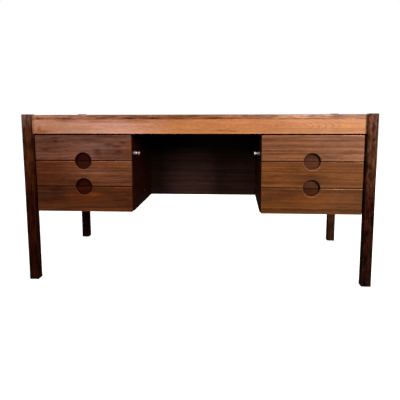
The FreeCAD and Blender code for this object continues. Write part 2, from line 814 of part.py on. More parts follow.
def make_lock_turnings():
    """The sleeve in the panel and the plunger in the sleeve, turned about the lock's axis."""
    bore = "(Sizes.plunger_radius + Sizes.plunger_fit)"
    mouth = "(Sizes.lock_head_length + Sizes.lock_stroke - Sizes.lock_reach)"
    bevel = "Sizes.lock_bevel"
    head = "Sizes.lock_head_radius"
    body = new_body("sleeve")
    profile = [
        (mouth, bore),
        (mouth, f"({head} - {bevel})"),
        (f"({mouth} + {bevel})", head),
        ("0", head),
        ("0", "Sizes.sleeve_radius"),
        (sleeve_depth, "Sizes.sleeve_radius"),
        (sleeve_depth, bore),
    ]
    revolve(body, outline(body, "XY_Plane", "sleeve_profile", profile))
    pair(place(body, knee_face, lock_y, lock_z), "lock_{}_sleeve")

    end = "(-Sizes.lock_reach)"
    neck = f"({end} + Sizes.lock_head_length)"
    tip = f"({bar_near} - {knee_face} - Sizes.plunger_tip)"
    body = new_body("plunger")
    profile = [
        (end, "0"),
        (end, f"({head} - {bevel})"),
        (f"({end} + {bevel})", head),
        (f"({end} + Sizes.lock_head_rim)", head),
        (neck, "Sizes.lock_head_waist"),
        (neck, "Sizes.plunger_radius"),
        (tip, "Sizes.plunger_radius"),
        (tip, "0"),
    ]
    revolve(body, outline(body, "XY_Plane", "plunger_profile", profile))

    # The tail is a chisel of 45 degrees, so the bar rises as far as the plunger goes in.
    slopes = sketch_on(body, "XZ_Plane", "tail_slopes", "0")
    slope_start = f"({tip} + Sizes.plunger_tip - {head})"
    for sign in ("", "-"):
        points = [(tip, f"{sign}Sizes.plunger_tip"), (tip, f"{sign}{head}"), (slope_start, f"{sign}{head}")]
        add_outline(slopes, points)
    pocket(body, slopes, f"2 * {head}", symmetric=True)
    pair(place(body, knee_face, lock_y, lock_z), "lock_{}_plunger")


def make_lock_bar():
    """The bar, with a notch for each catch and a hole whose upper edge rides on the plunger's slope."""
    bar = block("lock_strip", (bar_near, bar_front, bar_bottom), (bar_far, bar_rear, bar_top))
    room = "(Sizes.plunger_radius + Sizes.bar_fit)"
    low = (bar_near, f"({lock_y} - {room})", f"({lock_z} - {room} - Sizes.lock_stroke)")
    high = (bar_far, f"({lock_y} + {room})", f"({lock_z} + Sizes.bar_fit)")
    cuts = [block("tail_hole", low, high)]
    for row, name in enumerate(ROWS):
        low = (slot_floor, bar_front, f"({catch_height(row)} - {slot_half})")
        high = (bar_far, bar_rear, f"({catch_height(row)} + {slot_half})")
        cuts.append(block(f"bar_notch_{name}", low, high))
    pair(cut("notched_bar", bar, cuts), "lock_{}_bar")

    guides = []
    for row in range(len(ROWS) - 1):
        middle = f"(({catch_height(row)} + {catch_height(row + 1)}) / 2)"
        low = (inner_face, f"({lock_y} - Sizes.guide_width / 2)", f"({middle} - Sizes.guide_height / 2)")
        high = (
            f"({inner_face} + Sizes.guide_thick)",
            f"({lock_y} + Sizes.guide_width / 2)",
            f"({middle} + Sizes.guide_height / 2)",
        )
        guides.append(block(f"bar_guide_{row}", low, high))
    pair(group("bar_guides", guides), "lock_{}_guides")


def check():
    """Stops the build if any object failed or any sub-part is not a sound solid."""
    failed = [item.Label for item in doc.Objects if {"Invalid", "Error"} & set(item.State)]
    for item in nodes:
        if item.Shape.isNull() or not item.Shape.isValid() or not item.Shape.Solids:
            failed.append(item.Label)
    if failed:
        raise RuntimeError("failed: " + ", ".join(failed))


def write():
    os.makedirs("parts", exist_ok=True)
    for item in nodes:
        item.Shape.exportStep(f"parts/{item.Label}.step")


def main():
    make_legs()
    make_rails()
    make_top()
    make_glue_blocks()
    make_carcass()
    make_modesty_panel()
    for row, name in enumerate(ROWS):
        make_drawer(row, name)
    make_lock_turnings()
    make_lock_bar()
    doc.recompute()
    check()
    write()


main()
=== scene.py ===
import math

import bmesh
import bpy
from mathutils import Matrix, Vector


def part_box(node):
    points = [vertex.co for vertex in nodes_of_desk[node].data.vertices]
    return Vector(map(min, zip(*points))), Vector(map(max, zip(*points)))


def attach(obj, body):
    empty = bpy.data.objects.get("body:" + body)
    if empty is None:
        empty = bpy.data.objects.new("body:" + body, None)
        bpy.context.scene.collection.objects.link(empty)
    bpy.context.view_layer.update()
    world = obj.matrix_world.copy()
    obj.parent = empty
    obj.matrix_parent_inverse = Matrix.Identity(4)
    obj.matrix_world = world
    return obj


# Executive desk in rosewood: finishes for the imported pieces, small fittings, studio and camera.
# Lengths are in metres and colours in linear light. A tint multiplies the colour under it.

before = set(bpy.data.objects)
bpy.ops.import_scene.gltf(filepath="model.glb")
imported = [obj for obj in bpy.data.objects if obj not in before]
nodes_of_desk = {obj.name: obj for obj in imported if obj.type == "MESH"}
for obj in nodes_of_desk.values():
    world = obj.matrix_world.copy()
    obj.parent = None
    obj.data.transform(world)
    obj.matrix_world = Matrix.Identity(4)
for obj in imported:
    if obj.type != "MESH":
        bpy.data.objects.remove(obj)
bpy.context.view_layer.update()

SIDES = ("right", "left")
ROWS = ("top", "middle", "bottom")
MM = 0.001
FRONT_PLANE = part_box("drawer_right_top_front")[0][1]


# Node helpers

MEASURES = ("LENGTH", "DISTANCE", "DOT_PRODUCT")
MIX_FACTOR, MIX_FIRST, MIX_SECOND, MIX_RESULT = 0, 6, 7, 2
EDGE_TURN = (0.80, 0.985)
WHITE = (1.0, 1.0, 1.0, 1.0)


def new_finish(name):
    """An empty node material with its shader, ready for a pattern."""
    finish = bpy.data.materials.new(name)
    finish.use_nodes = True
    tree = finish.node_tree
    tree.nodes.clear()
    output = tree.nodes.new("ShaderNodeOutputMaterial")
    shader = tree.nodes.new("ShaderNodeBsdfPrincipled")
    tree.links.new(shader.outputs["BSDF"], output.inputs["Surface"])
    return finish, tree, shader


def feed(tree, socket, value):
    """Links an output to a socket, or sets the socket to a plain value."""
    if isinstance(value, bpy.types.NodeSocket):
        tree.links.new(value, socket)
    else:
        socket.default_value = value


def add_node(tree, kind, settings=None, **inputs):
    """A node with its own settings; an input is a number, a colour or another node's output."""
    node = tree.nodes.new(kind)
    for key, value in (settings or {}).items():
        setattr(node, key, value)
    for key, value in inputs.items():
        feed(tree, node.inputs[key.replace("_", " ")], value)
    return node


def math_node(tree, operation, *values):
    node = add_node(tree, "ShaderNodeMath", {"operation": operation})
    for socket, value in zip(node.inputs, values):
        feed(tree, socket, value)
    return node.outputs[0]


def multiply(tree, first, *others):
    """The product of several values or masks."""
    product = first
    for other in others:
        product = math_node(tree, "MULTIPLY", product, other)
    return product


def vector_node(tree, operation, *values):
    """A vector, or for an operation that measures, its value."""
    node = add_node(tree, "ShaderNodeVectorMath", {"operation": operation})
    for socket, value in zip(node.inputs, values):
        feed(tree, socket, value)
    return node.outputs["Value" if operation in MEASURES else "Vector"]


def spread(tree, value, low, high, to_low=0.0, to_high=1.0):
    """A value stretched from one range to another and held inside it."""
    node = add_node(tree, "ShaderNodeMapRange", Value=value, From_Min=low, From_Max=high)
    feed(tree, node.inputs["To Min"], to_low)
    feed(tree, node.inputs["To Max"], to_high)
    return node.outputs["Result"]


def fall(tree, value, start, end):
    """One up to the start, falling to nothing at the end."""
    return spread(tree, value, start, end, 1.0, 0.0)


def mix_colour(tree, factor, first, second, blend="MIX"):
    """The first colour changed by a plain second one as far as the factor says."""
    node = add_node(tree, "ShaderNodeMix", {"data_type": "RGBA", "blend_type": blend})
    feed(tree, node.inputs[MIX_FACTOR], factor)
    feed(tree, node.inputs[MIX_FIRST], first)
    feed(tree, node.inputs[MIX_SECOND], (*second, 1.0))
    return node.outputs[MIX_RESULT]


def tinted(tree, amount, colour, tint):
    return mix_colour(tree, amount, colour, tint, "MULTIPLY")


def colour_stops(tree, factor, stops):
    ramp = add_node(tree, "ShaderNodeValToRGB", Fac=factor)
    points = ramp.color_ramp.elements
    while len(points) < len(stops):
        points.new(0.5)
    for point, (place, colour) in zip(points, stops):
        point.position = place
        point.color = (*colour, 1.0)
    return ramp.outputs["Color"]


def stretched_noise(tree, vector, counts, detail, roughness=0.5):
    """Noise with its own count to the metre on each axis."""
    mapping = add_node(tree, "ShaderNodeMapping", Vector=vector, Scale=counts)
    return add_node(
        tree, "ShaderNodeTexNoise", Vector=mapping.outputs[0], Scale=1.0, Detail=detail, Roughness=roughness
    )


def edge_mask(tree, radius):
    """One along the piece's sharp edges, falling to nothing within the radius."""
    rounded = add_node(tree, "ShaderNodeBevel", {"samples": 4}, Radius=radius)
    flat = tree.nodes.new("ShaderNodeNewGeometry")
    turn = vector_node(tree, "DOT_PRODUCT", rounded.outputs[0], flat.outputs["Normal"])
    return fall(tree, turn, *EDGE_TURN)


# Wood

GRAIN_TURN = {"X": (0.0, 0.0, 0.0), "Y": (0.0, 0.0, -math.pi / 2), "Z": (0.0, math.pi / 2, 0.0)}
WAVE_REPEAT = math.pi / 10
MARK_TEAR = 7 * MM

# Parts of the grain: counts to the metre along and across it, then detail and roughness of the noise.
# Streaks and veins have counts of their own on each board.
DRIFT = (2.2, 11.0, 2.0, 0.5)
JITTER = (45.0, 150.0, 3.0, 0.5)
BLOTCH = (3.4, 10.0, 2.0, 0.5)
FLECK = (28.0, 190.0, 3.0, 0.6)
FIBRE = (11.0, 620.0, 3.0, 0.6)
PORE = (55.0, 2400.0, 1.0, 0.5)
CLOUD = (38.0, 70.0, 4.0, 0.6)
STREAK = (5.0, 0.62)
VEIN = (3.0, 0.55)
VEIN_LENGTH, VEIN_ACROSS = 0.8, 2

# The band of each noise over which its part shows, and its share in the tone of the wood
BLOTCH_BAND = (0.34, 0.66)
FIBRE_BAND = (0.3, 0.7)
PORE_BAND = (0.58, 0.72)
VEIN_BAND = (0.55, 0.72)
CLOUD_BAND = (0.35, 0.65)
LINE_BAND = (0.30, 0.6)
WEAR_AND_GLINT_BAND = (0.35, 0.65)
EDGE_HIGHLIGHT_BAND = (0.35, 0.6)
STREAK_SHARE = 0.40
BLOTCH_SHARE = 0.24
FIBRE_SHARE = 0.14
PORE_SHARE = 0.35

# What is left of lines, of edge wear with its painted glint, and of painted edge highlights where they are
# weakest
FAINTEST_LINES = 0.3
BROKEN_LINES = 0.25
LEAST_WEAR_AND_GLINT = 0.2
LEAST_EDGE_HIGHLIGHT = 0.35

# Tones of a board: how much darker and lighter it gets, and how warm
DARKER, DARK_WARMTH = 0.70, (1.0, 0.86, 0.80)
LIGHTER, LIGHT_WARMTH = 0.95, (1.0, 1.05, 1.08)
PORE_SHADE = 0.35
PATCH_EDGE = (0.3, 1.0)

# Lacquer: worn edges with a painted glint, painted highlights in strips along an upper edge, painted shade
# along a lower one, and the surface
EDGE_RADIUS = 2.0 * MM
EDGE_WEAR_AND_GLINT_TINT = (2.6, 2.7, 2.9)
EDGE_HIGHLIGHT_WIDTH = 3.2 * MM
EDGE_HIGHLIGHT_FULL = 0.3 * EDGE_HIGHLIGHT_WIDTH
EDGE_HIGHLIGHT_DEPTH = (2.0 * MM, 4.0 * MM)
SEAM_SHADE_WIDTH = (1.2 * MM, 3.2 * MM)
EDGE_ROUGHNESS = 0.2
END_GRAIN_ROUGHNESS = 0.6
FIBRE_RELIEF = 0.5
RELIEF = {"Strength": 0.12, "Distance": 0.3 * MM}

# Finger pulls: distances from the middle across the face, heights from the middle, depths from the front
WELL_RADIUS = (42.0 * MM, 43.0 * MM)
WELL_BLEND = 1.0 * MM
CORNER_RADIUS = (29 * MM, 35 * MM)
CORNER_HEIGHT = (-8 * MM, 12 * MM)
CORNER_TINT = (0.40, 0.34, 0.32)
RIM_INSIDE = (35.0 * MM, 35.6 * MM)
RIM_OUTSIDE = (37.8 * MM, 38.6 * MM)
RIM_HEIGHT = (-4 * MM, -24 * MM)
RIM_DEPTH = (2.2 * MM, 2.8 * MM)


def shades(mean, contrast):
    """Dark, middle and light tones of one board about its mean colour."""
    dark = [c * (1 - DARKER * contrast) * warm for c, warm in zip(mean, DARK_WARMTH)]
    light = [c * (1 + LIGHTER * contrast) * warm for c, warm in zip(mean, LIGHT_WARMTH)]
    return [(0.0, dark), (0.5, mean), (1.0, light)]


def from_zero(zero, distances):
    return [zero + distance for distance in distances]


def patch(tree, here, middle, reach):
    """One inside an ellipsoid, fading to nothing at its skin."""
    moved = vector_node(tree, "SUBTRACT", here, middle)
    scaled = vector_node(tree, "DIVIDE", moved, reach)
    return fall(tree, vector_node(tree, "LENGTH", scaled), *PATCH_EDGE)


def from_middle(tree, here, middle):
    """Distance from the middle of a finger pull, measured across the drawer's face."""
    flat = vector_node(tree, "MULTIPLY", here, (1.0, 0.0, 1.0))
    return vector_node(tree, "DISTANCE", flat, (middle[0], 0.0, middle[1]))


def well_mask(tree, here, place, middle, start):
    """One on the floor and walls of a finger pull, from a depth of start inwards, nothing on the face."""
    inside = fall(tree, from_middle(tree, here, middle), *WELL_RADIUS)
    deep = spread(tree, place["Y"], FRONT_PLANE + start, FRONT_PLANE + start + WELL_BLEND)
    return multiply(tree, inside, deep)


def corner_mask(tree, here, place, middle):
    """One in the upper corner between a pull's floor and wall, where least light falls."""
    ring = spread(tree, from_middle(tree, here, middle), *CORNER_RADIUS)
    upper = spread(tree, place["Z"], *from_zero(middle[1], CORNER_HEIGHT))
    return multiply(tree, ring, upper)


def rim_highlight_mask(tree, here, place, middle):
    """One on the lower rim of a finger pull, for a painted highlight where the rim faces the light."""
    away = from_middle(tree, here, middle)
    ring = multiply(tree, spread(tree, away, *RIM_INSIDE), fall(tree, away, *RIM_OUTSIDE))
    lower = spread(tree, place["Z"], *from_zero(middle[1], RIM_HEIGHT))
    shallow = fall(tree, place["Y"], *from_zero(FRONT_PLANE, RIM_DEPTH))
    return multiply(tree, ring, lower, shallow)


def edge_highlight_mask(tree, place, fleck, edge, start, end):
    """One on a painted highlight along an upper edge, coming in between two places along X."""
    strip = spread(tree, place["Z"], edge - EDGE_HIGHLIGHT_WIDTH, edge - EDGE_HIGHLIGHT_FULL)
    along = spread(tree, place["X"], start, end)
    patchy = spread(tree, fleck, *EDGE_HIGHLIGHT_BAND, LEAST_EDGE_HIGHLIGHT, 1.0)
    shallow = fall(tree, place["Y"], *from_zero(FRONT_PLANE, EDGE_HIGHLIGHT_DEPTH))
    return multiply(tree, strip, along, patchy, shallow)


def grain_noise(tree, vector, length, across, detail, roughness):
    """Noise drawn out along the grain, which is the vector's X."""
    return stretched_noise(tree, vector, (length, across, across), detail, roughness)


def grain_space(tree, here, grain, shift, waver, tear):
    """Points with X along the wavering grain, and the piece's own points made uneven for marks."""
    turn = {"Rotation": GRAIN_TURN[grain], "Location": (shift, 0.0, 0.0)}
    turned = add_node(tree, "ShaderNodeMapping", Vector=here, **turn).outputs[0]
    drift = grain_noise(tree, turned, *DRIFT).outputs["Color"]
    centred = vector_node(tree, "SUBTRACT", drift, (0.5, 0.5, 0.5))
    sway = vector_node(tree, "MULTIPLY", centred, [2 * waver * MM] * 3)
    jitter = grain_noise(tree, turned, *JITTER).outputs["Color"]
    torn = vector_node(tree, "MULTIPLY_ADD", jitter, [2 * MARK_TEAR] * 3, [-MARK_TEAR] * 3)
    bend = vector_node(tree, "MULTIPLY_ADD", torn, [tear] * 3, sway)
    along = vector_node(tree, "ADD", turned, bend)
    uneven = vector_node(tree, "ADD", vector_node(tree, "ADD", here, sway), torn)
    return along, uneven


def ring_lines(tree, along, place, heart, lean, ring, fine, faint):
    """One on the dark lines between growth rings."""
    turn = {"Rotation": (0.0, lean[1], -lean[0]), "Location": (0.0, -heart[0], -heart[1])}
    log = add_node(tree, "ShaderNodeMapping", Vector=along, **turn)
    wave = add_node(
        tree,
        "ShaderNodeTexWave",
        {"wave_type": "RINGS", "rings_direction": "X", "wave_profile": "SIN"},
        Vector=log.outputs[0],
        Scale=WAVE_REPEAT / (ring * MM),
        Distortion=0.0,
    )
    late = spread(tree, wave.outputs["Fac"], fine, 1.0)
    if not faint:
        return late
    start, full, leave, end = faint
    comes = spread(tree, place["X"], start, full, FAINTEST_LINES, 1.0)
    goes = spread(tree, place["X"], leave, end, 1.0, FAINTEST_LINES)
    return multiply(tree, late, comes, goes)


def grain_tone(tree, along, blotch, fleck, fibre, streaks, crisp, flecks, mottle):
    """Tone of the wood between dark and light, from its streaks, blotches, flecks, fibres and clouds."""
    hard = (0.5 - crisp, 0.5 + crisp)
    streak = grain_noise(tree, along, *streaks, *STREAK).outputs["Fac"]
    tone = multiply(tree, spread(tree, streak, *hard), STREAK_SHARE)
    tone = math_node(tree, "MULTIPLY_ADD", spread(tree, blotch, *BLOTCH_BAND), BLOTCH_SHARE, tone)
    tone = math_node(tree, "MULTIPLY_ADD", spread(tree, fleck, *hard), flecks, tone)
    tone = math_node(tree, "MULTIPLY_ADD", spread(tree, fibre, *FIBRE_BAND), FIBRE_SHARE, tone)
    if mottle:
        cloud = grain_noise(tree, along, *CLOUD).outputs["Fac"]
        tone = math_node(tree, "ADD", tone, spread(tree, cloud, *CLOUD_BAND, -mottle, mottle))
    return tone


def wood(
    name, mean, line, grain="X", shift=0.0,
    heart=(0.0, 0.0), lean=(0.0, 0.0), ring=8, waver=10, lines=0.4, fine=0.45, tear=0.2, faint=None,
    contrast=1.0, streaks=(1.6, 70.0), crisp=0.13, veins=0.5, flecks=0.26, mottle=0.0,
    gloss=(0.30, 0.44), shine=0.13, edge_wear_and_glint=0.5, end_grain=None,
    fades=(), marks=(), edge_highlights=(), wells=(), rim_highlights=(), seam_shade=(),
):
    """Lacquered wood with growth rings, streaks, dark veins, fibres and open pores.

    The log: heart is the place of its middle across the grain and lean its slope along the grain; ring is
    the width of a ring and waver its unevenness, both in millimetres. lines is the strength of the dark
    lines between rings, fine thins them, tear frays them, and faint is where along X they come and go.
    The board: streaks are counts to the metre along and across the grain, and crisp is small where they
    have hard edges. veins, flecks and mottle are the strengths of dark veins, short flecks and clouds.
    The surface: gloss is its range of roughness, shine its reflection, edge_wear_and_glint the lightening of
    its edges, which is wear and partly a painted glint, and end_grain the height above which it is cut across
    and dull.
    Changes of colour: fades (axis, start, end, tint), marks (middle, reach, tint, strength),
    edge_highlights (height, start, end, tint), which are painted highlights along an upper edge; wells
    (middle, tint, start), which are painted shade, partly darker wood, in finger pulls; rim_highlights
    (middle, tint), which are painted highlights on a pull's lower rim; and seam_shade (height, tint), which
    is painted shade along a lower edge.
    """
    finish, tree, shader = new_finish(name)
    here = add_node(tree, "ShaderNodeTexCoord").outputs["Object"]
    place = add_node(tree, "ShaderNodeSeparateXYZ", Vector=here).outputs
    along, uneven = grain_space(tree, here, grain, shift, waver, tear)
    blotch = grain_noise(tree, along, *BLOTCH).outputs["Fac"]
    fleck = grain_noise(tree, along, *FLECK).outputs["Fac"]
    fibre = grain_noise(tree, along, *FIBRE).outputs["Fac"]
    pore = spread(tree, grain_noise(tree, along, *PORE).outputs["Fac"], *PORE_BAND)

    # tone, growth rings, veins and pores
    tone = grain_tone(tree, along, blotch, fleck, fibre, streaks, crisp, flecks, mottle)
    colour = colour_stops(tree, tone, shades(mean, contrast))
    late = ring_lines(tree, along, place, heart, lean, ring, fine, faint)
    broken = multiply(tree, late, spread(tree, blotch, *LINE_BAND, BROKEN_LINES * lines, lines))
    colour = mix_colour(tree, broken, colour, line)
    vein = grain_noise(tree, along, VEIN_LENGTH * streaks[0], VEIN_ACROSS * streaks[1], *VEIN).outputs["Fac"]
    colour = mix_colour(tree, spread(tree, vein, *VEIN_BAND, 0.0, veins), colour, line)
    colour = mix_colour(tree, multiply(tree, pore, PORE_SHARE), colour, [PORE_SHADE * c for c in line])

    # changes of colour along the board, marks in it, lacquer worn off its edges with a painted glint, and
    # painted highlights along an upper edge
    for axis, start, end, tint in fades:
        colour = tinted(tree, spread(tree, place[axis], start, end), colour, tint)
    for middle, reach, tint, strength in marks:
        colour = tinted(tree, multiply(tree, patch(tree, uneven, middle, reach), strength), colour, tint)
    wear_and_glint_strength = spread(tree, blotch, *WEAR_AND_GLINT_BAND, LEAST_WEAR_AND_GLINT * edge_wear_and_glint, edge_wear_and_glint)
    worn_and_glinting_edges = multiply(tree, edge_mask(tree, EDGE_RADIUS), wear_and_glint_strength)
    colour = tinted(tree, worn_and_glinting_edges, colour, EDGE_WEAR_AND_GLINT_TINT)
    for edge, start, end, tint in edge_highlights:
        colour = tinted(tree, edge_highlight_mask(tree, place, fleck, edge, start, end), colour, tint)

    # finger pulls, with painted shade inside them, partly darker wood, more painted shade in their upper
    # corners and painted highlights on their lower rims; and painted shade along a lower edge outside them
    clear = 1.0
    for middle, tint, start in wells:
        hollow = well_mask(tree, here, place, middle, start)
        clear = math_node(tree, "SUBTRACT", clear, hollow)
        colour = tinted(tree, hollow, colour, tint)
        corner = multiply(tree, corner_mask(tree, here, place, middle), hollow)
        colour = tinted(tree, corner, colour, CORNER_TINT)
    for middle, tint in rim_highlights:
        colour = tinted(tree, rim_highlight_mask(tree, here, place, middle), colour, tint)
    for height, tint in seam_shade:
        in_seam_shade = fall(tree, place["Z"], *from_zero(height, SEAM_SHADE_WIDTH))
        colour = tinted(tree, multiply(tree, in_seam_shade, clear), colour, tint)
    tree.links.new(colour, shader.inputs["Base Color"])

    shader.inputs["Specular IOR Level"].default_value = shine
    rough = spread(tree, fibre, *FIBRE_BAND, *gloss)
    rough = math_node(tree, "MULTIPLY_ADD", worn_and_glinting_edges, EDGE_ROUGHNESS, rough)
    if end_grain:
        bare = spread(tree, place["Z"], end_grain, end_grain + 1.0 * MM)
        rough = math_node(tree, "MULTIPLY_ADD", bare, END_GRAIN_ROUGHNESS, rough)
    tree.links.new(rough, shader.inputs["Roughness"])
    relief = math_node(tree, "SUBTRACT", multiply(tree, fibre, FIBRE_RELIEF), pore)
    bump = add_node(tree, "ShaderNodeBump", Height=relief, **RELIEF)
    tree.links.new(bump.outputs[0], shader.inputs["Normal"])
    return finish


# Metal

TARNISH = ((160.0, 160.0, 160.0), 4.0, 0.6)
TARNISH_BAND = (0.3, 0.7)
METAL_EDGE_RADIUS = 0.6 * MM
METAL_EDGE_TINT = (1.2, 1.2, 1.2)
BRUSH_DETAIL = 2.0
BRUSH_ROUGHNESS = 0.15
BRUSH_RELIEF = {"Strength": 0.08, "Distance": 0.1 * MM}


def metal(name, light, dark, rough, brush):
    """Plated metal with tarnish and turning marks; brush is their count to the metre on each axis."""
    finish, tree, shader = new_finish(name)
    here = add_node(tree, "ShaderNodeTexCoord").outputs["Object"]
    tarnish = stretched_noise(tree, here, *TARNISH).outputs["Fac"]
    marks = stretched_noise(tree, here, brush, BRUSH_DETAIL).outputs["Fac"]
    colour = colour_stops(tree, spread(tree, tarnish, *TARNISH_BAND), [(0.0, dark), (1.0, light)])
    colour = tinted(tree, edge_mask(tree, METAL_EDGE_RADIUS), colour, METAL_EDGE_TINT)
    tree.links.new(colour, shader.inputs["Base Color"])
    shader.inputs["Metallic"].default_value = 1.0
    marked = math_node(tree, "MULTIPLY_ADD", marks, BRUSH_ROUGHNESS, rough)
    tree.links.new(marked, shader.inputs["Roughness"])
    bump = add_node(tree, "ShaderNodeBump", Height=marks, **BRUSH_RELIEF)
    tree.links.new(bump.outputs[0], shader.inputs["Normal"])
    return finish


def paint(names, finish):
    """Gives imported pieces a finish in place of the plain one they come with."""
    for name in names:
        slots = nodes_of_desk[name].material_slots
        if not slots:
            nodes_of_desk[name].data.materials.append(finish)
        for slot in slots:
            slot.material = finish


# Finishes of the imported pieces

LINE_SHADE = 0.22
MARK_DEPTH = 0.05

# Boards of the legs: mean colour, strength of clouds, and tints of the head, which are a painted sheen, of
# the lower half, which are painted shade, and of the foot
LEGS = {
    ("front", "left"): {
        "mean": (0.045, 0.0098, 0.0024), "mottle": 0.10,
        "head": (2.35, 4.5, 11.0), "low": (0.44, 0.29, 0.21), "foot": (0.78, 0.92, 1.15),
    },
    ("front", "right"): {
        "mean": (0.060, 0.0172, 0.0064), "mottle": 0.38,
        "head": (2.0, 2.2, 3.0), "low": (0.37, 0.21, 0.155), "foot": (0.73, 1.10, 1.75),
    },
    # the rear left leg's mean colour is much darker than the rear right one's: painted shade of the left
    # pedestal
    ("rear", "left"): {
        "mean": (0.030, 0.0050, 0.0024), "mottle": 0.15,
        "head": (2.1, 3.2, 5.5), "low": (0.42, 0.28, 0.23), "foot": (0.80, 0.90, 1.10),
    },
    ("rear", "right"): {
        "mean": (0.110, 0.0430, 0.0170), "mottle": 0.15,
        "head": (1.3, 1.5, 1.8), "low": (0.42, 0.28, 0.23), "foot": (0.80, 0.90, 1.10),
    },
}
LEG_HEAD_SHEEN = (0.672, 0.716)
LEG_LOW_SHADE = (0.56, 0.36)
LEG_FOOT = (0.30, 0.10)
LEG_TOE = (0.045, 0.004)
TOE_TINT = (1.1, 1.4, 2.2)
LEG_CUT = 1.2 * MM


def line_of(mean, shade=LINE_SHADE):
    """The colour of the dark lines in a board."""
    return [shade * c for c in mean]


def finish_legs():
    cut_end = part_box("leg_front_right")[1][2] - LEG_CUT
    for number, ((end, side), board) in enumerate(LEGS.items()):
        leg = wood(
            f"rosewood_leg_{end}_{side}", board["mean"], line_of(board["mean"]),
            grain="Z", shift=0.31 * number,
            heart=(0.2 + 0.1 * number, -0.4), ring=6, waver=12, lines=0.55,
            contrast=1.35, streaks=(13.0, 95.0), crisp=0.06, veins=0.8, mottle=board["mottle"],
            shine=0.06, end_grain=cut_end,
            fades=[
                # painted shade on the lower half, a tint on the foot, a painted sheen on the head and a
                # lighter toe
                ("Z", *LEG_LOW_SHADE, board["low"]),
                ("Z", *LEG_FOOT, board["foot"]),
                ("Z", *LEG_HEAD_SHEEN, board["head"]),
                ("Z", *LEG_TOE, TOE_TINT),
            ],
        )
        paint([f"leg_{end}_{side}"], leg)


def at_front(x, z, half_length, half_height, tint, strength=1.0):
    """A mark on a board at the desk's front."""
    return ((x, FRONT_PLANE, z), (half_length, MARK_DEPTH, half_height), tint, strength)


def finish_rails():
    dark = (0.45, 0.33, 0.28)
    apron = wood(
        "rosewood_apron", (0.42, 0.152, 0.053), (0.16, 0.040, 0.012), contrast=0.42,
        heart=(-0.3024, 0.685), lean=(0.08, 0.0), ring=2.24, waver=3, lines=0.42, fine=0.60, tear=0.06,
        faint=(0.41, 0.52, 0.595, 0.625), veins=0.22,
        fades=[
            # the first and last fades lighten and cool the apron toward its ends: painted sheen of the
            # lacquer
            ("X", -0.10, -0.30, (1.08, 1.40, 2.6)),
            ("X", -0.42, -0.58, (0.84, 0.76, 0.66)),
            ("X", 0.15, 0.55, (1.06, 1.22, 1.55)),
        ],
        marks=[
            at_front(-0.665, 0.662, 0.050, 0.012, (0.72, 0.50, 0.30)),
            at_front(-0.680, 0.675, 0.012, 0.014, (0.75, 0.55, 0.34)),
            at_front(-0.560, 0.707, 0.075, 0.008, (0.62, 0.55, 0.62)),
            at_front(-0.420, 0.704, 0.080, 0.005, (0.85, 0.66, 0.42)),
            at_front(-0.250, 0.706, 0.090, 0.006, (0.84, 0.62, 0.34)),
            at_front(0.105, 0.666, 0.050, 0.0035, dark, 0.8),
            at_front(0.160, 0.662, 0.030, 0.0030, dark, 0.9),
            at_front(0.62, 0.684, 0.030, 0.016, (1.10, 1.06, 0.80)),
        ],
    )
    paint(["apron_front"], apron)
    plain = {"mean": (0.24, 0.088, 0.036), "line": (0.075, 0.024, 0.010), "ring": 7, "waver": 9}
    paint(["apron_rear"], wood("rosewood_rear_rail", **plain, heart=(0.30, 0.60)))
    side_rails = wood("rosewood_side_rails", **plain, grain="Y", heart=(0.62, 0.66))
    paint(["side_rail_right", "side_rail_left"], side_rails)


def finish_top():
    dull = {"gloss": (0.60, 0.72), "shine": 0.025}
    board = wood(
        "rosewood_top", (0.20, 0.072, 0.030), (0.045, 0.014, 0.007),
        heart=(-0.05, 0.55), lean=(0.02, 0.055), ring=7, waver=16, lines=0.55, **dull,
    )
    paint(["desk_top"], board)
    strip = {"mean": (0.23, 0.078, 0.031), "line": (0.04, 0.012, 0.006), "ring": 5, "veins": 0.7, **dull}
    blotch = (0.34, 0.28, 0.38)
    # a painted highlight along the strip's top edge
    top_edge_highlight = (1.45, 1.7, 2.3)
    front_strip = wood(
        "rosewood_edge", **strip, heart=(-0.33, 0.70), waver=6,
        contrast=1.15, streaks=(7.0, 120.0), crisp=0.10,
        # the fades lighten and cool the strip toward both ends: painted sheen
        fades=[("X", -0.15, -0.45, (1.18, 1.32, 1.82)), ("X", 0.10, 0.45, (1.55, 2.1, 3.2))],
        marks=[
            at_front(-0.680, 0.716, 0.030, 0.008, blotch, 0.7),
            at_front(-0.560, 0.714, 0.060, 0.008, blotch, 0.9),
            at_front(-0.400, 0.716, 0.050, 0.006, blotch, 0.8),
            at_front(-0.285, 0.717, 0.040, 0.005, blotch),
            at_front(-0.190, 0.717, 0.050, 0.007, blotch),
            at_front(-0.240, 0.729, 0.160, 0.006, top_edge_highlight),
            at_front(0.480, 0.730, 0.220, 0.006, top_edge_highlight, 0.35),
        ],
        # painted shade along the strip's lower edge, at its seam with the apron
        seam_shade=[(0.712, (0.60, 0.54, 0.50))],
    )
    paint(["top_lipping_front", "top_lipping_rear"], front_strip)
    side_strip = wood("rosewood_side_edge", **strip, grain="Y", heart=(0.70, 0.70))
    paint(["top_lipping_right", "top_lipping_left"], side_strip)
